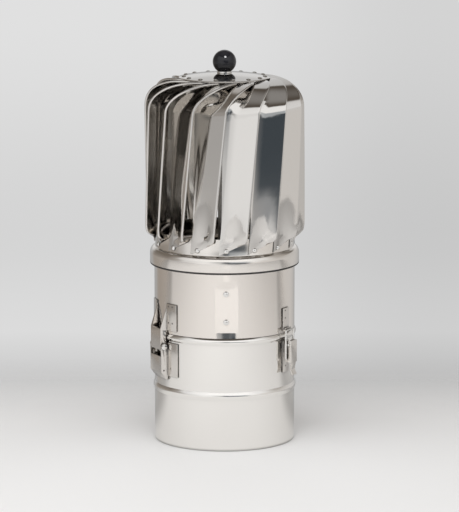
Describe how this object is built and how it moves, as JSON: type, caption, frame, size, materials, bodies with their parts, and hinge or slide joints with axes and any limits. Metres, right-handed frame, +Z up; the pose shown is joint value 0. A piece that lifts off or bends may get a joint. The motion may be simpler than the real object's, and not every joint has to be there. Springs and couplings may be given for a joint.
{
  "type": "rotating flue cowl",
  "caption": "Polished steel flue cowl: a spinning cage of twisted vanes under a domed disc with a ball knob, on a hinged, latched pipe spigot.",
  "frame": {"origin": "on the flue's axis in the plane of the pipe's lower edge, at the mouth of the spigot", "axes": "+Z up along the rotor's axis, -Y towards the viewer of the picture, +X to the viewer's right"},
  "size_m": [0.1717, 0.1718, 0.4186],
  "materials": {
    "polished_stainless": "mirror-polished stainless sheet",
    "bracket_stainless": "polished pressed stainless sheet",
    "fastener_steel": "bright plain steel",
    "plain_steel": "plain turned and pressed steel",
    "knob_plastic": "glossy black moulded ball"
  },
  "bodies": {
    "base": {"base_pipe": "polished_stainless", "hinge_lower_bracket": "bracket_stainless", "hinge_pin": "fastener_steel", "latch_base": "bracket_stainless", "latch_lever_pin": "fastener_steel"},
    "head": {"housing_tube": "polished_stainless", "hinge_upper_bracket": "bracket_stainless", "latch_keeper": "bracket_stainless", "bearing_spider": "plain_steel", "spider_rivets": "fastener_steel", "axle": "plain_steel", "axle_nuts": "plain_steel", "bearing_spacer": "plain_steel", "upper_bearing_inner": "plain_steel", "lower_bearing_inner": "plain_steel"},
    "rotor": {"rotor_ring": "polished_stainless", "vane_01": "polished_stainless", "vane_02": "polished_stainless", "vane_03": "polished_stainless", "vane_04": "polished_stainless", "vane_05": "polished_stainless", "vane_06": "polished_stainless", "vane_07": "polished_stainless", "vane_08": "polished_stainless", "vane_09": "polished_stainless", "vane_10": "polished_stainless", "vane_11": "polished_stainless", "vane_12": "polished_stainless", "vane_13": "polished_stainless", "vane_14": "polished_stainless", "vane_15": "polished_stainless", "ring_rivets": "fastener_steel", "top_disc": "polished_stainless", "disc_rivets": "fastener_steel", "bearing_hub": "plain_steel", "upper_bearing_outer": "plain_steel", "lower_bearing_outer": "plain_steel", "knob_stud": "plain_steel", "knob_nut": "plain_steel", "knob_washer": "fastener_steel", "ball_knob": "knob_plastic"},
    "lever": {"latch_lever": "bracket_stainless"},
    "bail": {"latch_bail": "fastener_steel"}
  },
  "joints": [
    {"name": "head_tilt", "type": "hinge", "parent": "base", "child": "head", "pos_m": [-0.07011, -0.03728, 0.1075], "axis": [0.4695, -0.8829, 0], "range_deg": [0, 90]},
    {"name": "rotor_spin", "type": "hinge", "parent": "head", "child": "rotor", "pos_m": [0, 0, 0.29], "axis": [0, 0, 1], "continuous": true},
    {"name": "latch_lever", "type": "hinge", "parent": "base", "child": "lever", "pos_m": [0.07054, -0.04239, 0.1095], "axis": [-0.515, -0.8572, 0], "range_deg": [0, 100]},
    {"name": "latch_bail", "type": "hinge", "parent": "lever", "child": "bail", "pos_m": [0.06909, -0.04151, 0.094], "axis": [-0.515, -0.8572, 0], "range_deg": [-100, 0]}
  ],
  "couplings": [
    {"joint": "latch_bail", "follows": "latch_lever", "ratio": -1}
  ]
}
